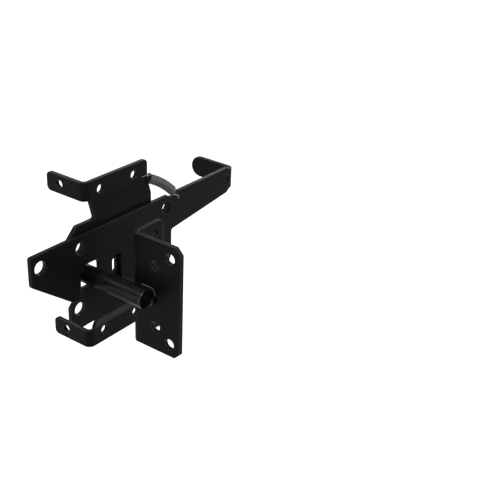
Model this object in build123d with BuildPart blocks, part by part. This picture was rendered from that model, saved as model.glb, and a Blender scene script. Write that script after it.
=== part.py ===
from build123d import *
from math import radians, tan
import os

# Gate latch for a post, with its striker, in millimetres.
# Origin: centre of the four post screw holes, on the plane of the post's face.
# +X runs along the lever towards its thumb tab, +Y goes into the post, +Z is up.

# Driving dimensions

# Sheet metal
sheet = 3.0  # thickness of every stamped plate
bend_inner = 2.0  # inner radius of a bend
plate_gap = 0.2  # running gap between lever and post plate

# Post plate: the ears that lie on the post
ear_hole_pitch_x = 32.0
ear_hole_pitch_z = 107.0
ear_hole = 5.8
ear_left = -30.8  # outer face of the tabs round the post's corner
ear_right = 29.5
ear_top = 61.3
ear_bottom = -62.7
ear_corner = 3.5
jog_depth = 3.5  # how far the middle stands off the post
jog_top = (37.0, 47.2)  # heights between which the sheet is jogged
jog_bottom = (-39.4, -48.4)

# Post plate: tabs round the post's corner
tab_reach = 31.1  # from the post's face to the end of a tab
tab_height = 13.3
tab_corner = 3.4
tab_hole = 5.4
tab_hole_back = 19.6  # from the post's face
tab_hole_z = 55.0

# Post plate: the middle
plate_left = -49.8
plate_right = 50.0
plate_top = 36.6
plate_bottom = -39.0
plate_chamfer_top = 8.0
plate_chamfer_bottom = 8.5
plate_neck_left = -25.5  # left edge of the sheet between the middle and an ear
plate_neck_fillet = 1.6
plate_low_top = 28.4  # top edge right of the ears, hidden by the lever
plate_low_corner = 4.0
throat_centre_z = 0.4
throat_half_height = 10.2
throat_end = -22.6
throat_mouth_up = 8.3  # how much the mouth widens above
throat_mouth_down = 10.8  # and below
throat_mouth_depth = 11.0
plate_window_x = -8.2
plate_window_z = -4.2
plate_window_width = 4.1
plate_window_height = 10.6
cord_hole_x = -41.8
cord_hole_z = -23.7
cord_hole = 8.8

# Holes for a padlock, through lever and post plate
lock_hole = 8.8
lock_hole_z = 22.1
lock_left_x = -41.6
lock_right_x = 42.1

# Pivot of the lever
pivot_x = 25.0
pivot_z = 0.0
pivot_shoulder = 10.0
pivot_clearance = 0.1  # radial, in the lever and in the washer
pivot_spigot = 8.0
pivot_head = 17.0
pivot_head_height = 3.6
pivot_tail = 13.0
pivot_tail_height = 2.6
tail_bevel = 1.0
head_rim = 0.8
washer_outer = 19.0
washer_thickness = 1.0

# Lever
lever_left = -83.9
lever_top = 31.3
lever_nose_height = 20.3  # of the blunt left end
lever_nose_corner = 3.0
ramp_angle = 37.0  # of the edge that the pin lifts the hook by
hook_bottom = -14.9
hook_tip_radius = 2.2
notch_left = -42.8
notch_right = -26.0
notch_top = 8.9
notch_corner = 5.0
notch_far_corner = 3.0  # the one next to the tongue
tongue_bottom = -9.0
slot_left = -14.8
slot_width = 10.0
slot_top = 5.2
slot_corner = 1.5
hub_corner_height = -14.0  # where the slot's right wall turns into the ramp
hub_bottom = -21.9
hub_right = 47.8
hub_corner = 6.0
hub_fillet = 1.8
arm_root_z = 3.3  # lower edge of the arm where it leaves the hub
arm_end_z = 10.9
arm_end_taper = 3.6  # length over which the arm narrows to its thumb tab
lever_right = 121.6  # outer face of the thumb tab
thumb_reach = 39.4  # from the lever's face to the end of the thumb tab
thumb_low = 13.6
thumb_top = 29.7
end_slot_x = 112.9
end_slot_z = 21.2
end_slot_width = 4.8
end_slot_height = 8.0
nose_hole_x = -76.3
nose_hole = 8.8
spring_relief_left = 43.4
spring_relief_right = 55.2
spring_relief_depth = 2.2

# Return spring
spring_hole = 3.0
spring_ear_x = 23.2
spring_ear_z = 49.7
spring_lever_x = 53.5
spring_lever_z = 25.6
spring_wire = 1.2
spring_outer = 7.4
spring_top = (31.8, -3.2, 45.4)  # ends of the closely wound turns, on their axis
spring_foot = (49.2, -8.8, 32.8)
turn_crown = 0.05
hook_bend = 1.3
hook_overlap = 1.3  # how far a hook's wire reaches in among the turns
ear_hook_run = 6.6
ear_hook_rise = 0.4
lever_hook_run = 0.5
lever_hook_rise = 3.0
hook_gap = 0.3  # between the wire of a hook and the sheet in front of which it runs

# Striker
bracket_face_x = -25.6  # face that the pin is fixed to
bracket_corner_y = -40.8  # face of the short flange
bracket_outer_y = -78.8
bracket_right = 2.4
bracket_height = 80.6
bracket_centre_z = -2.3
bracket_corner = 4.5  # of the short flange, and the cut of the long one's corners
gate_hole = 7.1
gate_outer_pitch = 62.0
gate_inner_pitch = 44.5
gate_outer_y = -70.0
gate_inner_y = -58.2
edge_hole_x = -6.2
edge_hole_pitch = 64.0

# Pin of the striker
pin_diameter = 12.7
pin_x = -36.0
pin_z = 1.0
pin_near = -60.0
pin_far = -0.6
pin_bevel = 0.8

# Stud of the pin: its flat foot lies on the bracket
foot_top = 3.1
foot_bottom = -9.0
foot_far = -45.0
foot_near = -58.6
foot_lean = 2.9  # by which the near edge leans back towards its top
foot_corner = 2.6
foot_thickness = 3.0
neck_diameter = 8.0
neck_y = -51.5
neck_z = -1.8

# Planes of the sheets, worked out from the above
ear_front = -sheet
plate_back = -jog_depth
plate_front = plate_back - sheet
lever_back = plate_front - plate_gap
lever_front = lever_back - sheet
washer_front = lever_front - plate_gap - washer_thickness


def front_plane(y):
    """A plane facing the viewer: local x is +X, local y is +Z and its normal is -Y."""
    return Plane(origin=(0, y, 0), x_dir=(1, 0, 0), z_dir=(0, -1, 0))


def side_plane(x):
    """A plane across the part: local x is +Y, local y is +Z and its normal is +X."""
    return Plane(origin=(x, 0, 0), x_dir=(0, 1, 0), z_dir=(1, 0, 0))


def corner_of(sketch, x, z):
    """The corner of a sketch that is nearest to a place in its plane."""
    return sketch.vertices().sort_by_distance((x, z, 0))[0]


def save(part, name):
    part.label = name
    export_step(part, f"parts/{name}.step")


os.makedirs("parts", exist_ok=True)

# Post plate: one stamping, jogged at both ears and bent round the post's corner
ear_middle = -sheet / 2
plate_middle = plate_front + sheet / 2
bend_middle = bend_inner + sheet / 2
flat_left = ear_left + sheet + bend_inner
tab_starts = (ear_bottom, ear_top - tab_height)
cut_start = 1.0
cut_depth = 30.0

with BuildPart() as post_plate:
    with BuildSketch(side_plane(plate_left)):
        with BuildLine():
            FilletPolyline(
                (ear_middle, ear_bottom),
                (ear_middle, jog_bottom[1]),
                (plate_middle, jog_bottom[0]),
                (plate_middle, jog_top[0]),
                (ear_middle, jog_top[1]),
                (ear_middle, ear_top),
                radius=bend_middle,
            )
        trace(line_width=sheet)
    extrude(amount=plate_right - plate_left)

    with BuildSketch(front_plane(cut_start)) as outline:
        with BuildLine():
            Polyline(
                (flat_left, ear_top),
                (ear_right, ear_top),
                (ear_right, plate_low_top),
                (plate_right, plate_low_top),
                (plate_right, plate_bottom),
                (ear_right, plate_bottom),
                (ear_right, ear_bottom),
                (flat_left, ear_bottom),
                (flat_left, ear_bottom + tab_height),
                (plate_neck_left, ear_bottom + tab_height),
                (plate_neck_left, plate_bottom),
                (plate_left + plate_chamfer_bottom, plate_bottom),
                (plate_left, plate_bottom + plate_chamfer_bottom),
                (plate_left, plate_top - plate_chamfer_top),
                (plate_left + plate_chamfer_top, plate_top),
                (plate_neck_left, plate_top),
                (plate_neck_left, ear_top - tab_height),
                (flat_left, ear_top - tab_height),
                close=True,
            )
        make_face()
        fillet([corner_of(outline, ear_right, end) for end in (ear_bottom, ear_top)], ear_corner)
        fillet(
            [
                corner_of(outline, plate_right, plate_low_top),
                corner_of(outline, plate_right, plate_bottom),
                corner_of(outline, ear_right, plate_low_top),
            ],
            plate_low_corner,
        )
        fillet(
            [
                corner_of(outline, ear_right, plate_bottom),
                corner_of(outline, plate_neck_left, plate_bottom),
                corner_of(outline, plate_neck_left, plate_top),
            ],
            plate_neck_fillet,
        )
    extrude(amount=cut_depth, mode=Mode.INTERSECT)

    for tab_start in tab_starts:
        with BuildSketch(Plane.XY.offset(tab_start)):
            with BuildLine():
                FilletPolyline(
                    (flat_left + sheet, ear_middle),
                    (ear_left + sheet / 2, ear_middle),
                    (ear_left + sheet / 2, tab_reach),
                    radius=bend_middle,
                )
            trace(line_width=sheet)
        extrude(amount=tab_height)
    fillet(post_plate.edges().filter_by(Axis.X).group_by(Axis.Y)[-1], tab_corner)

    with BuildSketch(front_plane(cut_start)):
        with GridLocations(ear_hole_pitch_x, ear_hole_pitch_z, 2, 2):
            Circle(ear_hole / 2)
        with Locations((lock_left_x, lock_hole_z), (lock_right_x, lock_hole_z)):
            Circle(lock_hole / 2)
        with Locations((cord_hole_x, cord_hole_z)):
            Circle(cord_hole / 2)
        with Locations((spring_ear_x, spring_ear_z)):
            Circle(spring_hole / 2)
        with Locations((pivot_x, pivot_z)):
            Circle(pivot_spigot / 2)
        with Locations((plate_window_x, plate_window_z)):
            SlotOverall(plate_window_height, plate_window_width, rotation=90)
    extrude(amount=cut_depth, mode=Mode.SUBTRACT)

    with BuildSketch(side_plane(0)):
        with Locations((tab_hole_back, tab_hole_z), (tab_hole_back, -tab_hole_z)):
            Circle(tab_hole / 2)
    extrude(amount=-cut_depth - sheet, mode=Mode.SUBTRACT)

    # The throat, open to the left, with a wide mouth that guides the pin in
    throat_top = throat_centre_z + throat_half_height
    throat_bottom = throat_centre_z - throat_half_height
    throat_axis_x = throat_end - throat_half_height
    with BuildSketch(front_plane(cut_start)):
        with BuildLine():
            Polyline(
                (throat_axis_x, throat_top),
                (plate_left + throat_mouth_depth, throat_top),
                (plate_left, throat_top + throat_mouth_up),
                (plate_left - sheet, throat_top + throat_mouth_up),
                (plate_left - sheet, throat_bottom - throat_mouth_down),
                (plate_left, throat_bottom - throat_mouth_down),
                (plate_left + throat_mouth_depth, throat_bottom),
                (throat_axis_x, throat_bottom),
            )
            ThreePointArc(
                (throat_axis_x, throat_bottom),
                (throat_end, throat_centre_z),
                (throat_axis_x, throat_top),
            )
        make_face()
    extrude(amount=cut_depth, mode=Mode.SUBTRACT)

save(post_plate.part, "post_plate")

# Lever: one stamping, with its thumb tab bent back at the right end
lever_middle = lever_front + sheet / 2
ramp_slope = tan(radians(ramp_angle))
nose_low = lever_top - lever_nose_height
ramp_end_x = lever_left + (nose_low - hook_bottom) / ramp_slope
slot_right = slot_left + slot_width
hub_ramp_end_x = slot_right + (hub_corner_height - hub_bottom) / ramp_slope
flat_right = lever_right - sheet - bend_inner
thumb_middle_x = lever_right - sheet / 2
relief_bottom = lever_top - spring_relief_depth
thumb_round = (thumb_top - thumb_low) / 2 - 0.05

with BuildPart() as lever:
    with BuildSketch(front_plane(lever_back)) as blank:
        with BuildLine():
            Polyline(
                (notch_left, notch_top),
                (notch_left, hook_bottom),
                (ramp_end_x, hook_bottom),
                (lever_left, nose_low),
                (lever_left, lever_top),
                (spring_relief_left, lever_top),
                (spring_relief_left + spring_relief_depth, relief_bottom),
                (spring_relief_right - spring_relief_depth, relief_bottom),
                (spring_relief_right, lever_top),
                (flat_right - arm_end_taper, lever_top),
                (flat_right, thumb_top),
                (flat_right, thumb_low),
                (flat_right - arm_end_taper, arm_end_z),
                (hub_right, arm_root_z),
                (hub_right, hub_bottom),
                (hub_ramp_end_x, hub_bottom),
                (slot_right, hub_corner_height),
                (slot_right, slot_top),
                (slot_left, slot_top),
                (slot_left, tongue_bottom),
                (notch_right, tongue_bottom),
                (notch_right, notch_top),
                close=True,
            )
        make_face()
        fillet([corner_of(blank, notch_left, notch_top)], notch_corner)
        fillet([corner_of(blank, notch_right, notch_top)], notch_far_corner)
        fillet(
            [
                corner_of(blank, notch_left, hook_bottom),
                corner_of(blank, ramp_end_x, hook_bottom),
                corner_of(blank, slot_right, hub_corner_height),
                corner_of(blank, slot_left, tongue_bottom),
                corner_of(blank, notch_right, tongue_bottom),
            ],
            hook_tip_radius,
        )
        fillet([corner_of(blank, lever_left, nose_low)], lever_nose_corner)
        fillet([corner_of(blank, lever_left, lever_top)], lever_nose_corner / 2)
        fillet([corner_of(blank, hub_right, hub_bottom)], hub_corner)
        fillet([corner_of(blank, hub_ramp_end_x, hub_bottom)], hub_corner)
        fillet([corner_of(blank, hub_right, arm_root_z)], hub_fillet)
        fillet([corner_of(blank, slot_left, slot_top), corner_of(blank, slot_right, slot_top)], slot_corner)
        with Locations((nose_hole_x, lock_hole_z)):
            Circle(nose_hole / 2, mode=Mode.SUBTRACT)
        with Locations((lock_left_x, lock_hole_z), (lock_right_x, lock_hole_z)):
            Circle(lock_hole / 2, mode=Mode.SUBTRACT)
        with Locations((spring_lever_x, spring_lever_z)):
            Circle(spring_hole / 2, mode=Mode.SUBTRACT)
        with Locations((pivot_x, pivot_z)):
            Circle(pivot_shoulder / 2 + pivot_clearance, mode=Mode.SUBTRACT)
    extrude(amount=sheet)

    with BuildSketch(Plane.XY.offset(thumb_low)):
        with BuildLine():
            FilletPolyline(
                (flat_right - sheet, lever_middle),
                (thumb_middle_x, lever_middle),
                (thumb_middle_x, lever_front + thumb_reach),
                radius=bend_middle,
            )
        trace(line_width=sheet)
    extrude(amount=thumb_top - thumb_low)
    fillet(lever.edges().filter_by(Axis.X).group_by(Axis.Y)[-1], thumb_round)

    with BuildSketch(front_plane(lever_back + cut_start)):
        with Locations((end_slot_x, end_slot_z)):
            SlotOverall(end_slot_height, end_slot_width, rotation=90)
    extrude(amount=sheet + 2 * cut_start, mode=Mode.SUBTRACT)

save(lever.part, "lever")

# Pivot rivet: a shoulder for the lever, a spigot through the post plate, a domed head and a formed tail
pivot_plane = Plane(origin=(pivot_x, 0, pivot_z), x_dir=(1, 0, 0), z_dir=(0, 0, 1))
pivot_axis = Axis((pivot_x, 0, pivot_z), (0, 1, 0))
tail_back = plate_back + pivot_tail_height
dome_rise = pivot_head_height - head_rim
dome_radius = ((pivot_head / 2) ** 2 + dome_rise**2) / (2 * dome_rise)

with BuildPart() as pivot_rivet:
    with BuildSketch(pivot_plane):
        with BuildLine():
            Polyline(
                (0, washer_front - pivot_head_height),
                (0, tail_back),
                (pivot_tail / 2 - tail_bevel, tail_back),
                (pivot_tail / 2, tail_back - tail_bevel),
                (pivot_tail / 2, plate_back),
                (pivot_spigot / 2, plate_back),
                (pivot_spigot / 2, plate_front),
                (pivot_shoulder / 2, plate_front),
                (pivot_shoulder / 2, washer_front),
                (pivot_head / 2, washer_front),
                (pivot_head / 2, washer_front - head_rim),
            )
            RadiusArc(
                (pivot_head / 2, washer_front - head_rim),
                (0, washer_front - pivot_head_height),
                dome_radius,
            )
        make_face()
    revolve(axis=pivot_axis)

save(pivot_rivet.part, "pivot_rivet")

with BuildPart() as pivot_washer:
    with BuildSketch(front_plane(washer_front + washer_thickness)):
        with Locations((pivot_x, pivot_z)):
            Circle(washer_outer / 2)
            Circle(pivot_shoulder / 2 + pivot_clearance, mode=Mode.SUBTRACT)
    extrude(amount=washer_thickness)

save(pivot_washer.part, "pivot_washer")

# Return spring: close turns, here as a row of rings, and a hook at each end
spring_run = Vector(*spring_foot) - Vector(*spring_top)
spring_turns = round(spring_run.length / spring_wire)
turn_pitch = spring_run.length / spring_turns
coil_radius = (spring_outer - spring_wire) / 2
across_spring = spring_run.cross(Vector(0, 1, 0)).normalized()
ear_wire_y = ear_front - spring_wire / 2 - hook_gap
lever_wire_y = lever_front - spring_wire / 2 - hook_gap
spring_way = spring_run.normalized()
top_turn = Vector(*spring_top) + spring_way * hook_overlap
foot_turn = Vector(*spring_foot) - spring_way * hook_overlap
ear_hook = [
    (spring_ear_x, -hook_gap, spring_ear_z),
    (spring_ear_x, ear_wire_y, spring_ear_z),
    (spring_ear_x + ear_hook_run, ear_wire_y, spring_ear_z + ear_hook_rise),
    tuple(top_turn + across_spring * coil_radius),
]
lever_hook = [
    (spring_lever_x, lever_back + spring_wire, spring_lever_z),
    (spring_lever_x, lever_wire_y, spring_lever_z),
    (spring_lever_x + lever_hook_run, lever_wire_y, spring_lever_z + lever_hook_rise),
    (foot_turn.X, lever_wire_y, foot_turn.Z - spring_wire),
]

with BuildPart() as return_spring:
    with BuildSketch(Plane(origin=spring_top, x_dir=across_spring, z_dir=across_spring.cross(spring_run))):
        with BuildLine():
            Polyline((coil_radius, 0), (0, 0), (0, spring_run.length), (coil_radius, spring_run.length))
            for turn in range(spring_turns):
                RadiusArc(
                    (coil_radius, turn * turn_pitch),
                    (coil_radius, (turn + 1) * turn_pitch),
                    -turn_pitch / 2 - turn_crown,
                )
        make_face()
    revolve(axis=Axis(spring_top, spring_run))
    for hook in (ear_hook, lever_hook):
        with BuildLine():
            FilletPolyline(*hook, radius=hook_bend)
        with BuildSketch(Plane(origin=hook[0], z_dir=(0, 1, 0))):
            Circle(spring_wire / 2)
        sweep()

save(return_spring.part, "return_spring")

# Striker bracket: an angle plate, with its long flange for the gate's face and its short one for the edge
bracket_low = bracket_centre_z - bracket_height / 2
flange_middle_x = bracket_face_x + sheet / 2
flange_middle_y = bracket_corner_y + sheet / 2

with BuildPart() as striker_bracket:
    with BuildSketch(Plane.XY.offset(bracket_low)):
        with BuildLine():
            FilletPolyline(
                (flange_middle_x, bracket_outer_y),
                (flange_middle_x, flange_middle_y),
                (bracket_right, flange_middle_y),
                radius=bend_middle,
            )
        trace(line_width=sheet)
    extrude(amount=bracket_height)
    chamfer(striker_bracket.edges().filter_by(Axis.X).group_by(Axis.Y)[0], bracket_corner)
    fillet(striker_bracket.edges().filter_by(Axis.Y).group_by(Axis.X)[-1], bracket_corner)

    with BuildSketch(side_plane(bracket_face_x - cut_start)):
        with Locations((gate_outer_y, bracket_centre_z)):
            with GridLocations(0, gate_outer_pitch, 1, 2):
                Circle(gate_hole / 2)
        with Locations((gate_inner_y, bracket_centre_z)):
            with GridLocations(0, gate_inner_pitch, 1, 2):
                Circle(gate_hole / 2)
        with Locations((neck_y, neck_z)):
            Circle(neck_diameter / 2)
    extrude(amount=sheet + 2 * cut_start, mode=Mode.SUBTRACT)

    with BuildSketch(front_plane(bracket_corner_y + sheet + cut_start)):
        with Locations((edge_hole_x, bracket_centre_z)):
            with GridLocations(0, edge_hole_pitch, 1, 2):
                Circle(gate_hole / 2)
    extrude(amount=sheet + 2 * cut_start, mode=Mode.SUBTRACT)

save(striker_bracket.part, "striker_bracket")

# Striker pin: a plain round bar with bevelled ends
with BuildPart() as striker_pin:
    with BuildSketch(front_plane(pin_far)):
        with Locations((pin_x, pin_z)):
            Circle(pin_diameter / 2)
    extrude(amount=pin_far - pin_near)
    chamfer(striker_pin.edges().filter_by(GeomType.CIRCLE), pin_bevel)

save(striker_pin.part, "striker_pin")

# Pin stud: a neck that fits the pin's round side, and a foot that is riveted flush through the bracket
with BuildPart() as pin_stud:
    with BuildSketch(side_plane(pin_x)):
        with Locations((neck_y, neck_z)):
            Circle(neck_diameter / 2)
    extrude(amount=bracket_face_x + sheet - pin_x)
    with BuildSketch(side_plane(bracket_face_x - foot_thickness)):
        with BuildLine():
            Polyline(
                (foot_far, foot_bottom),
                (foot_far, foot_top),
                (foot_near + foot_lean, foot_top),
                (foot_near, foot_bottom + foot_corner),
                (foot_near + foot_corner, foot_bottom),
                close=True,
            )
        make_face()
    extrude(amount=foot_thickness)
    with BuildSketch(front_plane(pin_far)):
        with Locations((pin_x, pin_z)):
            Circle(pin_diameter / 2)
    extrude(amount=pin_far - pin_near, mode=Mode.SUBTRACT)

save(pin_stud.part, "pin_stud")
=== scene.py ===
# %% [markdown]
# # A gate latch in black powder coat
# The latch is a handful of steel stampings, a rivet, a round pin and one small spring.
# The solids come ready made and at their real size, so this lesson is about what makes them
# look like the real thing: edges that are a little round, a coating with a fine grain, a bead
# of weld and a spring whose wire is really wound. Everything is in metres, in the frame of the
# solids: +X runs along the lever to its thumb tab, +Y goes into the post and +Z is up. Small
# sizes and places on the latch are written in millimetres, and MM turns them into metres.

# %% Load the solids
import math

import bpy
from mathutils import Matrix, Vector


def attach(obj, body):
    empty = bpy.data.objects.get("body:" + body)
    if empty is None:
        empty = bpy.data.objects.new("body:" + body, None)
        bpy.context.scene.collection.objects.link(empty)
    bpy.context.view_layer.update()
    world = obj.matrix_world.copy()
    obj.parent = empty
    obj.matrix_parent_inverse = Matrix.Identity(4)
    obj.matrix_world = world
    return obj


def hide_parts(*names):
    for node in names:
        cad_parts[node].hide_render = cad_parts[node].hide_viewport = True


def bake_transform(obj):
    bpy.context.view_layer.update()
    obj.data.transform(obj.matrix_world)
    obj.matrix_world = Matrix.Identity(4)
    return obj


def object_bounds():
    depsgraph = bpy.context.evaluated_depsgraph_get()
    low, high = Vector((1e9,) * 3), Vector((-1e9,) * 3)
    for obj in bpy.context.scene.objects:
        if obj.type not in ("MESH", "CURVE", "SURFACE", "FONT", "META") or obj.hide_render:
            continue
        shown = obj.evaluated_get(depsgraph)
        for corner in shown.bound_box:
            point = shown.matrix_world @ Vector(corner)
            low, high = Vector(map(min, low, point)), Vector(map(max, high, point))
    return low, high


MM = 0.001
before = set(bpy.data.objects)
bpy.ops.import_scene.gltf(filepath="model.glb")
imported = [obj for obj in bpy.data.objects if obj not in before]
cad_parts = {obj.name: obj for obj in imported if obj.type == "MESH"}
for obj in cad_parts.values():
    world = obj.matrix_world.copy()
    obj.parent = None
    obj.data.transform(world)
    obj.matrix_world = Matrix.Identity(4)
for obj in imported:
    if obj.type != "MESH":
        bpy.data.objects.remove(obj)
cad_size = [list(corner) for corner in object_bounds()]
print("nodes:", ", ".join(sorted(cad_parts)))
print("latch:", [round((high - low) / MM, 1) for low, high in zip(*cad_size)], "mm")

# %% [markdown]
# ## The camera
# The latch is seen from its front left and from a little above. A camera that only points at
# its target can't lean, and this one leans by 3 degrees. So its three directions are worked out
# from the azimuth round the latch, the elevation over the floor and the roll, and together they
# are its turn. The lens follows from the width of the picture in pixels and the focal length in
# the same pixels.

# %% Place the camera
SENSOR = 36.0
PICTURE_WIDTH = 500
FOCAL_PIXELS = 909.7
AZIMUTH = math.radians(-55.61)
ELEVATION = math.radians(27.13)
ROLL = math.radians(3.08)
CAMERA_PLACE = Vector((-0.4056, -0.3893, 0.2914))

backwards = Vector(
    (
        math.sin(AZIMUTH) * math.cos(ELEVATION),
        -math.cos(AZIMUTH) * math.cos(ELEVATION),
        math.sin(ELEVATION),
    )
)
level_right = Vector((0, 0, 1)).cross(backwards).normalized()
level_up = backwards.cross(level_right)
right = level_right * math.cos(ROLL) + level_up * math.sin(ROLL)
up = level_up * math.cos(ROLL) - level_right * math.sin(ROLL)
turn = Matrix((right, up, backwards)).transposed()
bpy.ops.object.camera_add(location=CAMERA_PLACE, rotation=turn.to_euler())
camera = bpy.context.object
camera.data.sensor_width = SENSOR
camera.data.lens = SENSOR * FOCAL_PIXELS / PICTURE_WIDTH
bpy.context.scene.camera = camera
bpy.context.scene.view_settings.view_transform = "Standard"
print("lens:", round(camera.data.lens, 1), "mm")

# %% [markdown]
# ## A white background that stays off the latch
# The latch is shown before plain white. A floor and a world of that strength would also fill
# its undersides with light and turn the black grey. The Light Path node tells rays apart: those
# that come from the camera, a mirror image or glass see full white, and what falls on the latch
# is much weaker. The floor gets this as a glow on top of a mid grey.

# %% Lay the floor
FLOOR_DROP = 0.22
FLOOR_SIZE = 12.0
FLOOR_GREY = 0.4
FLOOR_ROUGHNESS = 0.9
FLOOR_GLOW = 0.92
WHITE = (1, 1, 1, 1)


def feed(tree, socket, value):
    """Links another socket to this one, or sets it to a plain value."""
    if isinstance(value, bpy.types.NodeSocket):
        tree.links.new(value, socket)
    else:
        socket.default_value = value


def add_math(tree, operation, *values):
    """A math node whose inputs are sockets or plain numbers."""
    node = tree.nodes.new("ShaderNodeMath")
    node.operation = operation
    for socket, value in zip(node.inputs, values):
        feed(tree, socket, value)
    return node.outputs[0]


def background_ray(tree):
    """Is 1 for the rays that see the background, from the camera, a mirror image or glass."""
    path = tree.nodes.new("ShaderNodeLightPath").outputs
    seen = add_math(tree, "MAXIMUM", path["Is Camera Ray"], path["Is Glossy Ray"])
    return add_math(tree, "MAXIMUM", seen, path["Is Transmission Ray"])


def new_material(name):
    """A material, its node tree and its Principled shader."""
    material = bpy.data.materials.new(name)
    material.use_nodes = True
    tree = material.node_tree
    return material, tree, tree.nodes["Principled BSDF"]


def lay_floor():
    height = cad_size[0][2] - FLOOR_DROP
    bpy.ops.mesh.primitive_plane_add(size=FLOOR_SIZE, location=(0, 0, height))
    floor = bpy.context.object
    floor.name = "floor"
    material, tree, shader = new_material("white_floor")
    shader.inputs["Base Color"].default_value = (FLOOR_GREY, FLOOR_GREY, FLOOR_GREY, 1)
    shader.inputs["Roughness"].default_value = FLOOR_ROUGHNESS
    shader.inputs["Emission Color"].default_value = WHITE
    glow = add_math(tree, "MULTIPLY", background_ray(tree), FLOOR_GLOW)
    feed(tree, shader.inputs["Emission Strength"], glow)
    floor.data.materials.append(material)
    print("floor:", round(height, 3), "m")


lay_floor()

# %% [markdown]
# ## The world
# The world is the same white for those rays, and a dim grey for all others. A black world would
# light the latch nearly as well, but the faces that no lamp reaches would lose all detail.

# %% Light the world
WORLD_GREY = 0.15


def light_world():
    world = bpy.context.scene.world or bpy.data.worlds.new("World")
    bpy.context.scene.world = world
    world.use_nodes = True
    tree = world.node_tree
    grey = tree.nodes.new("ShaderNodeMix")
    grey.data_type = "FLOAT"
    grey.inputs["A"].default_value = WORLD_GREY
    grey.inputs["B"].default_value = 1.0
    feed(tree, grey.inputs["Factor"], background_ray(tree))
    background = tree.nodes["Background"]
    background.inputs["Color"].default_value = WHITE
    feed(tree, background.inputs["Strength"], grey.outputs["Result"])


light_world()
print("world grey:", WORLD_GREY)

# %% [markdown]
# ## Lamps
# A black thing shows little but its own edges, so the lamps stand where those edges send them
# to the lens. Two stand behind the latch, at the far right and high at the left, for the light
# lines along the upper edges. A low one at the left skims the bracket and the pin, and two in
# front light the faces of the plates and the lever's arm. All are soft squares, because a point
# lamp would leave hard dots in the gloss.

# %% Hang the lamps
LAMPS = (
    ("lamp_over", (0.95, 0.75, 0.38), 0.6, 2.0),
    ("lamp_high_left", (-0.42, 0.5, 0.85), 0.3, 4.5),
    ("lamp_low_left", (-0.8, 0.45, 0.1), 0.6, 4.5),
    ("lamp_front", (-0.25, -0.9, 0.6), 0.4, 5.5),
    ("lamp_right", (0.85, -0.5, 0.5), 0.35, 5.0),
)


def hang_lamp(name, place, size, watts):
    """A square lamp that faces the latch and stays out of the picture."""
    bpy.ops.object.light_add(type="AREA", location=place)
    lamp = bpy.context.object
    lamp.name = name
    # A lamp shines along its own -Z, so its +Z points from the latch to its place
    lamp.rotation_euler = Vector(place).to_track_quat("Z", "Y").to_euler()
    lamp.data.size = size
    lamp.data.energy = watts
    lamp.visible_camera = False


for lamp_values in LAMPS:
    hang_lamp(*lamp_values)
print("lamps:", len(LAMPS), "with", sum(watts for _, _, _, watts in LAMPS), "watts")

# %% [markdown]
# ## Where the grain comes from
# Powder coat is sprayed on as dust and baked until it flows together. Its pattern could be
# painted on unwrapped pieces, but noise in the object's own coordinates needs no unwrapping and
# has the same size on every piece. A stretch of less than 1 draws it out along Y, which is the
# way that the pin runs.

# %% Prepare the noise


def add_noise(tree, place, scale, detail):
    """Noise at a place. Its scale is a socket or a plain number."""
    noise = tree.nodes.new("ShaderNodeTexNoise")
    feed(tree, noise.inputs["Vector"], place)
    feed(tree, noise.inputs["Scale"], scale)
    noise.inputs["Detail"].default_value = detail
    return noise.outputs["Fac"]


def stretch_along_y(tree, stretch):
    """Object coordinates with their Y multiplied by a socket's value."""
    factors = tree.nodes.new("ShaderNodeCombineXYZ")
    factors.inputs["X"].default_value = 1
    feed(tree, factors.inputs["Y"], stretch)
    factors.inputs["Z"].default_value = 1
    stretched = tree.nodes.new("ShaderNodeVectorMath")
    stretched.operation = "MULTIPLY"
    feed(tree, stretched.inputs[0], tree.nodes.new("ShaderNodeTexCoord").outputs["Object"])
    feed(tree, stretched.inputs[1], factors.outputs["Vector"])
    return stretched.outputs["Vector"]


print("a noise scale of", round(1 / MM), "has about one hill to the millimetre")

# %% [markdown]
# ## The grain of powder coat
# The baked coat keeps a faint orange peel, about a millimetre from hill to hill, with the much
# finer grain of the dust on top. Its tone drifts over a centimetre or two, and small specks
# stand partly for rubbed spots and partly for painted glints. It is one node group with named
# inputs, because all the coatings share it, each with its own values.

# %% Build the grain
PEEL_DETAIL = 1.5
DUST_SCALE = 5200
DUST_DETAIL = 2
CLOUD_SCALE = 55
CLOUD_DETAIL = 3
SPOT_SCALE = 420
SPOT_DETAIL = 4
SPOT_START = 0.56
SPOT_STEEPNESS = 6
GRAIN_INPUTS = {"Peel Size": 1.1, "Peel": 0.6, "Grain": 0.25, "Stretch": 1.0}
GRAIN_OUTPUTS = ("Height", "Cloud", "Specks")


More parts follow.
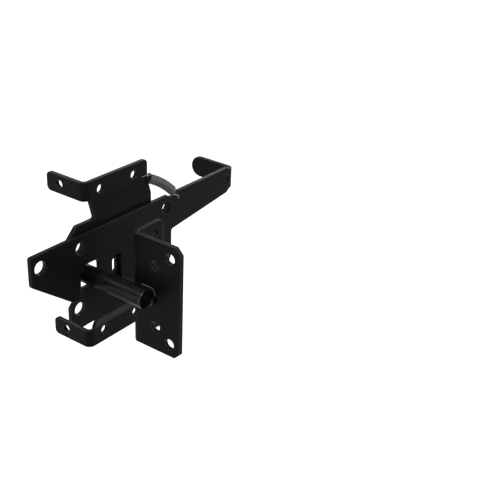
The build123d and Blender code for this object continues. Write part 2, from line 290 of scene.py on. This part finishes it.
def build_grain():
    tree = bpy.data.node_groups.new("powder_grain", "ShaderNodeTree")
    for label, value in GRAIN_INPUTS.items():
        socket = tree.interface.new_socket(label, in_out="INPUT", socket_type="NodeSocketFloat")
        socket.default_value = value
    for label in GRAIN_OUTPUTS:
        tree.interface.new_socket(label, in_out="OUTPUT", socket_type="NodeSocketFloat")
    given = tree.nodes.new("NodeGroupInput").outputs
    result = tree.nodes.new("NodeGroupOutput").inputs

    place = stretch_along_y(tree, given["Stretch"])
    hills_per_metre = add_math(tree, "DIVIDE", 1 / MM, given["Peel Size"])
    peel = add_noise(tree, place, hills_per_metre, PEEL_DETAIL)
    dust = add_noise(tree, place, DUST_SCALE, DUST_DETAIL)
    raised = add_math(tree, "MULTIPLY", peel, given["Peel"])
    feed(tree, result["Height"], add_math(tree, "MULTIPLY_ADD", dust, given["Grain"], raised))

    feed(tree, result["Cloud"], add_noise(tree, place, CLOUD_SCALE, CLOUD_DETAIL))

    spots = add_noise(tree, place, SPOT_SCALE, SPOT_DETAIL)
    over_start = add_math(tree, "SUBTRACT", spots, SPOT_START)
    steep = add_math(tree, "MULTIPLY", over_start, SPOT_STEEPNESS)
    not_negative = add_math(tree, "MAXIMUM", steep, 0)
    feed(tree, result["Specks"], add_math(tree, "MINIMUM", not_negative, 1))
    return tree


powder_grain = build_grain()
print("grain:", len(powder_grain.nodes), "nodes")

# %% [markdown]
# ## A black coating
# All the steel but the spring is coated black. Its colour is nearly none and its gloss is low,
# so what the eye reads is the roughness. A single value would look like plastic, so the cloud
# of the grain moves both the colour and the roughness, the specks let a paler tone through that
# is partly rubbed spots and partly painted glints, and the height goes into a bump. One function
# makes every coating, so that they stay one family.

# %% Describe a coating
# The specks mix in this paler tone: partly rubbed coat, partly painted glints.
RUBBED_AND_GLINT = (0.05, 0.05, 0.05)
DARKEST = 0.8
LIGHTEST = 1.25
BUMP_STRENGTH = 0.35


def set_range(tree, source, low, high):
    """Moves a value between 0 and 1 into the range from low to high."""
    node = tree.nodes.new("ShaderNodeMapRange")
    node.inputs["To Min"].default_value = low
    node.inputs["To Max"].default_value = high
    feed(tree, node.inputs["Value"], source)
    return node.outputs["Result"]


def mix_colours(tree, share, first, second):
    """Goes from the first colour at a share of 0 to the second at 1."""
    node = tree.nodes.new("ShaderNodeMix")
    node.data_type = "RGBA"
    feed(tree, node.inputs["Factor"], share)
    feed(tree, node.inputs["A"], first)
    feed(tree, node.inputs["B"], second)
    return node.outputs["Result"]


def shade(colour, factor=1.0):
    """A colour times a factor, with an alpha of 1."""
    return (*[part * factor for part in colour], 1)


def coating(name, colour, roughness, gloss, peel, depth, stretch=1.0, worn_and_glints=0.0):
    """Black powder coat. Roughness is a range, and depth is the height of the bumps."""
    material, tree, shader = new_material(name)
    grain = tree.nodes.new("ShaderNodeGroup")
    grain.node_tree = powder_grain
    grain.inputs["Peel"].default_value = peel
    grain.inputs["Stretch"].default_value = stretch
    cloud = grain.outputs["Cloud"]
    coat = mix_colours(tree, cloud, shade(colour, DARKEST), shade(colour, LIGHTEST))
    # Paler specks, partly rubbed spots and partly painted glints
    rubbed_and_glint_share = set_range(tree, grain.outputs["Specks"], 0, worn_and_glints)
    feed(tree, shader.inputs["Base Color"], mix_colours(tree, rubbed_and_glint_share, coat, shade(RUBBED_AND_GLINT)))
    feed(tree, shader.inputs["Roughness"], set_range(tree, cloud, *roughness))
    bump = tree.nodes.new("ShaderNodeBump")
    bump.inputs["Strength"].default_value = BUMP_STRENGTH
    bump.inputs["Distance"].default_value = depth
    feed(tree, bump.inputs["Height"], grain.outputs["Height"])
    feed(tree, shader.inputs["Normal"], bump.outputs["Normal"])
    shader.inputs["Specular IOR Level"].default_value = gloss
    return material


print("a coating goes from", DARKEST, "to", LIGHTEST, "times its colour")

# %% [markdown]
# ## The coatings of the latch
# On the rolled edges the coating flows thin and smooth, so the rims are glossier than the
# flats, and their paler black is a painted highlight. The pin is a drawn bar, streaked along its
# length, with pale specks that are partly rubbed spots and partly painted glints, and it is dull
# and painted darker as shade where it was sawn off. The stud and the weld are the shiniest, the
# weld with the rims' painted highlight, and the rivet, which nothing rubs on, has a plain even
# coat.

# %% Mix the coatings
BLACK = (0.0062, 0.0062, 0.0064)
# The rims and the weld get a paler black than the flats: a painted highlight.
RIM_HIGHLIGHT_BLACK = (0.009, 0.009, 0.0092)
# The pin's ends get a darker black than its side: painted shade.
SAWN_SHADE_BLACK = (0.0035, 0.0035, 0.0036)

plate_coat = coating(
    "black_plate_coat", BLACK, roughness=(0.30, 0.42), gloss=0.025, peel=0.6, depth=0.06 * MM
)
rim_coat = coating(
    "black_rim_coat_highlight", RIM_HIGHLIGHT_BLACK, roughness=(0.22, 0.34), gloss=0.10, peel=0.6, depth=0.04 * MM
)
pin_coat = coating(
    "black_pin_coat",
    BLACK,
    roughness=(0.18, 0.36),
    gloss=0.036,
    peel=1.0,
    depth=0.3 * MM,
    stretch=0.25,
    worn_and_glints=0.4,
)
stud_coat = coating(
    "black_stud_coat", BLACK, roughness=(0.16, 0.30), gloss=0.2, peel=1.0, depth=0.2 * MM, worn_and_glints=0.3
)
weld_coat = coating(
    "black_weld_coat_highlight", RIM_HIGHLIGHT_BLACK, roughness=(0.14, 0.26), gloss=0.4, peel=1.0, depth=0.1 * MM, worn_and_glints=0.4
)
sawn_shade_coat = coating(
    "black_sawn_end_shade", SAWN_SHADE_BLACK, roughness=(0.42, 0.6), gloss=0.0, peel=1.0, depth=0.3 * MM, worn_and_glints=0.25
)
rivet_coat = coating(
    "black_rivet_coat", BLACK, roughness=(0.28, 0.36), gloss=0.06, peel=0.5, depth=0.06 * MM
)
coats = (plate_coat, rim_coat, pin_coat, stud_coat, weld_coat, sawn_shade_coat, rivet_coat)
print("coatings:", ", ".join(coat.name for coat in coats))

# %% [markdown]
# ## Whole faces
# The mesh of a solid is loose triangles, and an edge can only be rolled where two faces share
# it. So the solid is copied, the copy's doubles are merged and its flat faces are made whole.
# Counting the faces at each edge shows whether the piece is closed.

# %% Copy a solid
FLAT = math.radians(0.3)
SHARP = math.radians(32)
DOUBLES = 0.002 * MM


def only(piece):
    """Selects one object alone and makes it active."""
    bpy.ops.object.select_all(action="DESELECT")
    piece.select_set(True)
    bpy.context.view_layer.objects.active = piece


def copy_solid(node):
    """A copy of a solid, without its parent and without the marks of a ready made node."""
    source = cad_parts[node]
    piece = source.copy()
    piece.data = source.data.copy()
    bpy.context.collection.objects.link(piece)
    piece.name = node + "_finished"
    piece.parent = None
    for key in list(piece.keys()):
        del piece[key]
    return piece


def make_faces_whole(piece):
    only(piece)
    bpy.ops.mesh.customdata_custom_splitnormals_clear()
    bpy.ops.object.mode_set(mode="EDIT")
    bpy.ops.mesh.select_all(action="SELECT")
    bpy.ops.mesh.remove_doubles(threshold=DOUBLES)
    bpy.ops.mesh.dissolve_limited(angle_limit=FLAT)
    bpy.ops.object.mode_set(mode="OBJECT")
    bpy.ops.object.shade_smooth_by_angle(angle=SHARP)


def count_open_edges(piece):
    """How many edges aren't shared by exactly two faces. A closed piece has none."""
    uses = {}
    for face in piece.data.polygons:
        for key in face.edge_keys:
            uses[key] = uses.get(key, 0) + 1
    return sum(1 for count in uses.values() if count != 2)


def report(piece):
    print(piece.name, len(piece.data.polygons), "faces,", count_open_edges(piece), "open edges")


print("points closer than", DOUBLES / MM, "mm are merged")

# %% [markdown]
# ## Rolled edges
# A stamping die rounds the edge that it enters, and the coating rounds all of them further.
# That small radius draws a light line round every plate. A Bevel node in the shader could fake
# it, but would leave the outline sharp, so the edges get real faces from a Bevel modifier, and
# with them a finish of their own, which on the plates is a paler black: a painted highlight. The
# facets of a bend meet at a small angle, and only what is sharper than that is rolled.

# %% Roll the edges
ROLL_SEGMENTS = 2


def roll_edges(piece, width):
    """Rounds the sharp edges. The new faces take the piece's second material."""
    bevel = piece.modifiers.new("rolled_edges", "BEVEL")
    bevel.width = width
    bevel.segments = ROLL_SEGMENTS
    bevel.limit_method = "ANGLE"
    bevel.angle_limit = SHARP
    bevel.miter_outer = "MITER_ARC"
    bevel.use_clamp_overlap = False
    bevel.harden_normals = True
    bevel.material = 1
    only(piece)
    bpy.ops.object.modifier_apply(modifier=bevel.name)


def dress(node, body, flat_coat, edge_coat, edge):
    """A finished copy of a solid, which stands for it and moves with its body."""
    piece = copy_solid(node)
    make_faces_whole(piece)
    piece.data.materials.clear()
    piece.data.materials.append(flat_coat)
    piece.data.materials.append(edge_coat)
    roll_edges(piece, edge)
    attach(piece, body)
    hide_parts(node)
    report(piece)
    return piece


print("edges over", round(math.degrees(SHARP)), "degrees are rolled")

# %% [markdown]
# ## The plates
# The post plate, the lever and the bracket are cut and bent from the same sheet, so they have
# the same edge. They could be bent again from flat shapes, but the solids already have every
# hole and bend at its place, so each is only dressed. The plate stays on the post, the lever
# turns on it, and the bracket goes with the gate.

# %% Dress the plates
PLATE_EDGE = 0.45 * MM

dress("post_plate", "post_side", plate_coat, rim_coat, PLATE_EDGE)
dress("lever", "lever_side", plate_coat, rim_coat, PLATE_EDGE)
dress("striker_bracket", "gate_side", plate_coat, rim_coat, PLATE_EDGE)

# %% [markdown]
# ## The pin and its stud
# The pin is a bar that was sawn to length. Its round side is smooth, and its ends are rough,
# dull and painted darker than the side as shade. Two discs on the ends would show a seam, so the
# faces that look along the bar get a third material instead, picked by their normals. The pin's
# rolled rim has the weld's paler black, a painted highlight. The short stud that carries the pin
# is rounder at its edges than a cut piece, and has a shiny rim.

# %% Dress the pin and the stud
PIN_EDGE = 0.3 * MM
STUD_EDGE = 0.8 * MM
ALONG_BAR = 0.6

pin = dress("striker_pin", "gate_side", pin_coat, weld_coat, PIN_EDGE)
# The faces along the bar get a darker, dull black: painted shade on the pin's ends
pin.data.materials.append(sawn_shade_coat)
sawn_shade_faces = [face for face in pin.data.polygons if abs(face.normal.y) > ALONG_BAR]
for face in sawn_shade_faces:
    face.material_index = len(pin.data.materials) - 1
print("sawn ends:", len(sawn_shade_faces), "faces")
dress("pin_stud", "gate_side", pin_coat, stud_coat, STUD_EDGE)

# %% [markdown]
# ## The pivot
# The rivet that the lever turns on and the washer under its head sit behind the bracket. They
# are turned and pressed pieces with finer edges than a plate, and one coat covers both their
# flats and their edges.

# %% Dress the pivot
RIVET_EDGE = 0.2 * MM

dress("pivot_rivet", "post_side", rivet_coat, rivet_coat, RIVET_EDGE)
dress("pivot_washer", "post_side", rivet_coat, rivet_coat, RIVET_EDGE)

# %% [markdown]
# ## The weld of the pin's foot
# The stud's flat foot is held to the bracket by a thin bead of weld along its top and down its
# near edge. It is what catches the light just over the pin's end. Weld is laid in short
# ripples, so the bead is a bar along the joint whose thickness goes up and down. A curve does
# this well, because each of its points has a radius of its own. Its bevel is 1 mm deep, so a
# point's radius is the bar's radius in millimetres there.

# %% Lay the weld
WELD_ROUTE = (
    (-25.7, -46.4, 2.9),
    (-25.7, -51.5, 3.0),
    (-25.7, -56.2, 2.9),
    (-25.4, -57.0, 0.6),
    (-25.2, -57.8, -2.4),
)
WELD_RADIUS = 1.0
RIPPLE = 1.1
RIPPLE_NECK = 0.82
BAR_ROUNDNESS = 3


def lay_bar(name, line, radii, order, resolution):
    """A round bar along a line of points in millimetres, as a mesh."""
    bpy.ops.curve.primitive_nurbs_path_add()
    piece = bpy.context.object
    piece.name = name
    piece.data.splines.clear()
    spline = piece.data.splines.new("NURBS")
    spline.points.add(len(line) - 1)
    for point, place, radius in zip(spline.points, line, radii):
        point.co = (*(Vector(place) * MM), 1)
        point.radius = radius
    spline.order_u = order
    spline.use_endpoint_u = True
    spline.resolution_u = resolution
    piece.data.bevel_depth = MM
    piece.data.bevel_resolution = BAR_ROUNDNESS
    piece.data.use_fill_caps = True
    piece.location = (0, 0, 0)
    only(piece)
    bpy.ops.object.convert(target="MESH")
    bpy.ops.object.shade_smooth()
    return bpy.context.object


def lay_weld():
    line, radii = [], []
    for start, end in zip(WELD_ROUTE, WELD_ROUTE[1:]):
        start, end = Vector(start), Vector(end)
        steps = max(2, round((end - start).length / RIPPLE) * 2)
        for step in range(steps):
            line.append(start.lerp(end, step / steps))
            radii.append(WELD_RADIUS if step % 2 else WELD_RADIUS * RIPPLE_NECK)
    bead = lay_bar("foot_weld", line, radii, order=3, resolution=4)
    # The weld's paler black is a painted highlight
    bead.data.materials.append(weld_coat)
    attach(bead, "gate_side")
    print("weld:", len(line), "points,", len(bead.data.polygons), "faces")


lay_weld()

# %% [markdown]
# ## Zinc on the wire
# The spring isn't coated but plated, and its zinc has gone dull. That is between metal and
# paint: a grey that is mottled at the scale of the wire, with a soft gloss and only a part of
# a metal's mirror. The same noise moves colour and roughness, so the lighter spots are duller.

# %% Plate the wire
WIRE_DARK = (0.035, 0.035, 0.036)
WIRE_LIGHT = (0.12, 0.12, 0.122)
WIRE_ROUGHNESS = (0.22, 0.36)
WIRE_METAL = 0.3
WIRE_GLOSS = 0.4
MOTTLE_SCALE = 900
MOTTLE_DETAIL = 3


def plate_wire():
    material, tree, shader = new_material("zinc_wire")
    place = tree.nodes.new("ShaderNodeTexCoord").outputs["Object"]
    mottle = add_noise(tree, place, MOTTLE_SCALE, MOTTLE_DETAIL)
    tint = mix_colours(tree, mottle, shade(WIRE_DARK), shade(WIRE_LIGHT))
    feed(tree, shader.inputs["Base Color"], tint)
    feed(tree, shader.inputs["Roughness"], set_range(tree, mottle, *WIRE_ROUGHNESS))
    shader.inputs["Metallic"].default_value = WIRE_METAL
    shader.inputs["Specular IOR Level"].default_value = WIRE_GLOSS
    return material


zinc_wire = plate_wire()
print("wire:", zinc_wire.name)

# %% [markdown]
# ## The return spring
# The spring is one length of wire: a hook through the ear of the post plate, close turns, and
# a hook through the lever. Rings on a tube would look the same from afar, but end in nothing.
# So its line is worked out turn by turn and given a round section, and the wire runs on into
# both hooks, whose points are given. The row of turns bows upwards a little, because the hooks
# pull at its edge.

# %% Wind the spring
WIRE = 1.2
COIL_OUTER = 7.4
TURNS = 18.5
TURN_STEPS = 16
BOW = 1.3
TOP = Vector((30.8, -2.9, 46.1))
FOOT = Vector((49.2, -8.8, 32.8))
EAR_HOOK = (
    (23.2, 0.4, 49.7),
    (23.2, -2.0, 49.7),
    (23.4, -3.8, 49.8),
    (25.6, -4.0, 50.0),
    (28.6, -4.0, 49.9),
    (29.9, -3.9, 50.5),
    (31.2, -3.5, 50.0),
)
LEVER_HOOK = (
    (46.8, -11.6, 31.6),
    (48.6, -11.3, 30.6),
    (51.4, -10.8, 29.4),
    (54.0, -10.6, 28.0),
    (54.4, -10.4, 26.2),
    (53.6, -9.4, 25.4),
    (53.4, -7.6, 25.6),
    (53.4, -5.8, 26.0),
)


def wind_line():
    """The middle line of the wire, from the ear's hook to the lever's."""
    run = FOOT - TOP
    way = run.normalized()
    across = run.cross(Vector((0, 1, 0))).normalized()
    side = way.cross(across)
    radius = (COIL_OUTER - WIRE) / 2
    steps = round(TURNS * TURN_STEPS)
    turns = []
    for step in range(steps + 1):
        angle = 2 * math.pi * step / TURN_STEPS
        share = step / steps
        # The bow is a parabola, with nothing at both ends and all of it in the middle
        rise = BOW * 4 * share * (1 - share)
        axis = TOP + run * share + across * rise
        turns.append(axis + across * radius * math.cos(angle) + side * radius * math.sin(angle))
    return [Vector(point) for point in EAR_HOOK] + turns + [Vector(point) for point in LEVER_HOOK]


def wind_spring():
    line = wind_line()
    radii = [WIRE / 2] * len(line)
    piece = lay_bar("return_spring_wire", line, radii, order=4, resolution=3)
    piece.data.materials.clear()
    piece.data.materials.append(zinc_wire)
    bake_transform(piece)
    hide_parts("return_spring")
    print("spring:", TURNS, "turns,", len(piece.data.polygons), "faces")


wind_spring()
